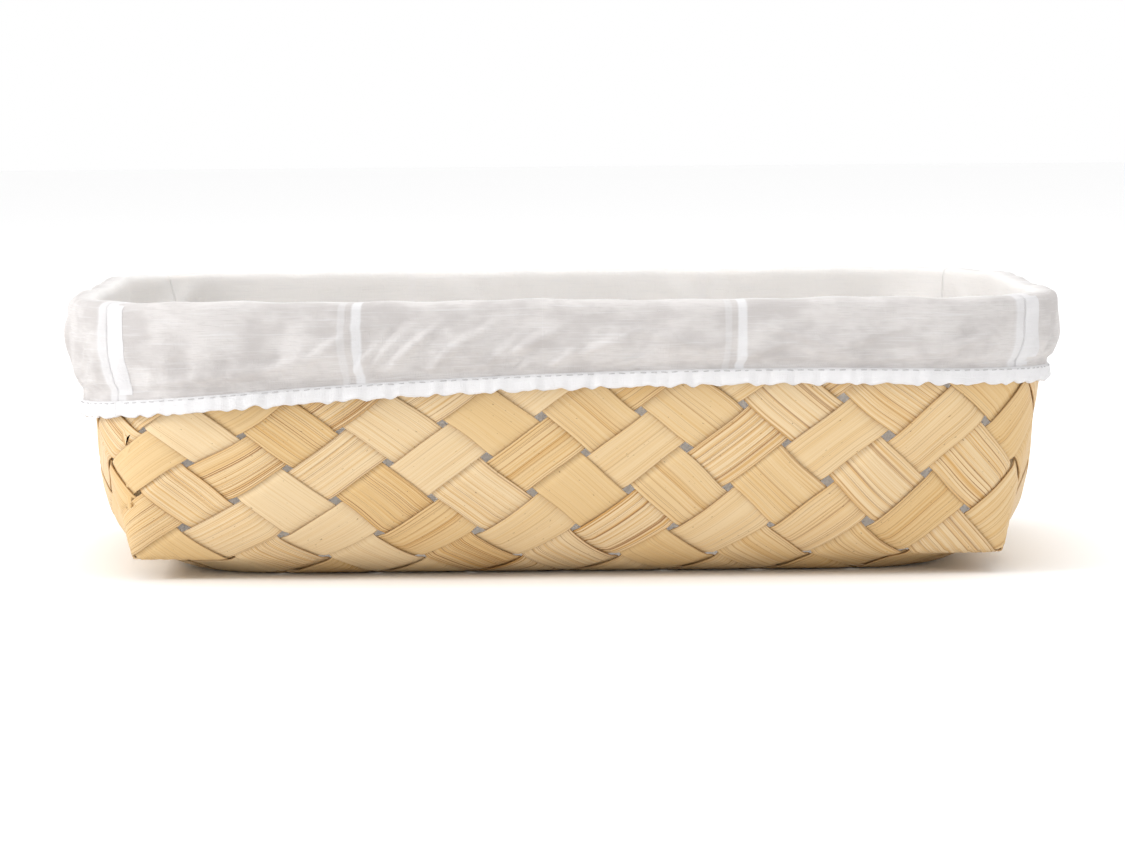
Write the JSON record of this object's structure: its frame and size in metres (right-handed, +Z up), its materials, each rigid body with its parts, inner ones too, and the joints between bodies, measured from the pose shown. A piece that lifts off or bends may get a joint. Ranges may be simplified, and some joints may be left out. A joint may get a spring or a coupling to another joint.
{
  "type": "bread basket",
  "caption": "Rectangular bread basket plaited on the bias from bamboo strips, with a cotton liner whose elasticated cuff folds over the rim.",
  "frame": {"origin": "on the floor under the middle of the basket", "axes": "+X along the long side, +Y towards the back, +Z up"},
  "size_m": [0.3188, 0.2272, 0.0883],
  "materials": {
    "bamboo_strip": "natural split bamboo, satin",
    "bamboo_band": "natural bamboo, satin",
    "tack": "plain steel",
    "cotton": "thin off-white cotton",
    "binding": "white cotton tape",
    "elastic": "covered elastic",
    "thread": "cotton thread"
  },
  "bodies": {
    "basket": {"strip_rising_01": "bamboo_strip", "strip_rising_02": "bamboo_strip", "strip_rising_03": "bamboo_strip", "strip_rising_04": "bamboo_strip", "strip_rising_05": "bamboo_strip", "strip_rising_06": "bamboo_strip", "strip_rising_07": "bamboo_strip", "strip_rising_08": "bamboo_strip", "strip_rising_09": "bamboo_strip", "strip_rising_10": "bamboo_strip", "strip_rising_11": "bamboo_strip", "strip_rising_12": "bamboo_strip", "strip_rising_13": "bamboo_strip", "strip_rising_14": "bamboo_strip", "strip_rising_15": "bamboo_strip", "strip_falling_01": "bamboo_strip", "strip_falling_02": "bamboo_strip", "strip_falling_03": "bamboo_strip", "strip_falling_04": "bamboo_strip", "strip_falling_05": "bamboo_strip", "strip_falling_06": "bamboo_strip", "strip_falling_07": "bamboo_strip", "strip_falling_08": "bamboo_strip", "strip_falling_09": "bamboo_strip", "strip_falling_10": "bamboo_strip", "strip_falling_11": "bamboo_strip", "strip_falling_12": "bamboo_strip", "strip_falling_13": "bamboo_strip", "strip_falling_14": "bamboo_strip", "strip_falling_15": "bamboo_strip", "rim_band_outer": "bamboo_band", "rim_band_inner": "bamboo_band", "rim_tacks": "tack"},
    "liner": {"liner_floor": "cotton", "liner_panel_front": "cotton", "liner_panel_right": "cotton", "liner_panel_back": "cotton", "liner_panel_left": "cotton", "hem_binding": "binding", "hem_elastic": "elastic", "hem_stitching": "thread", "cuff_corner_seams": "cotton"}
  },
  "joints": [
    {"name": "liner_lift", "type": "slide", "parent": "basket", "child": "liner", "axis": [0, 0, 1], "range_m": [0, 0.11]}
  ]
}
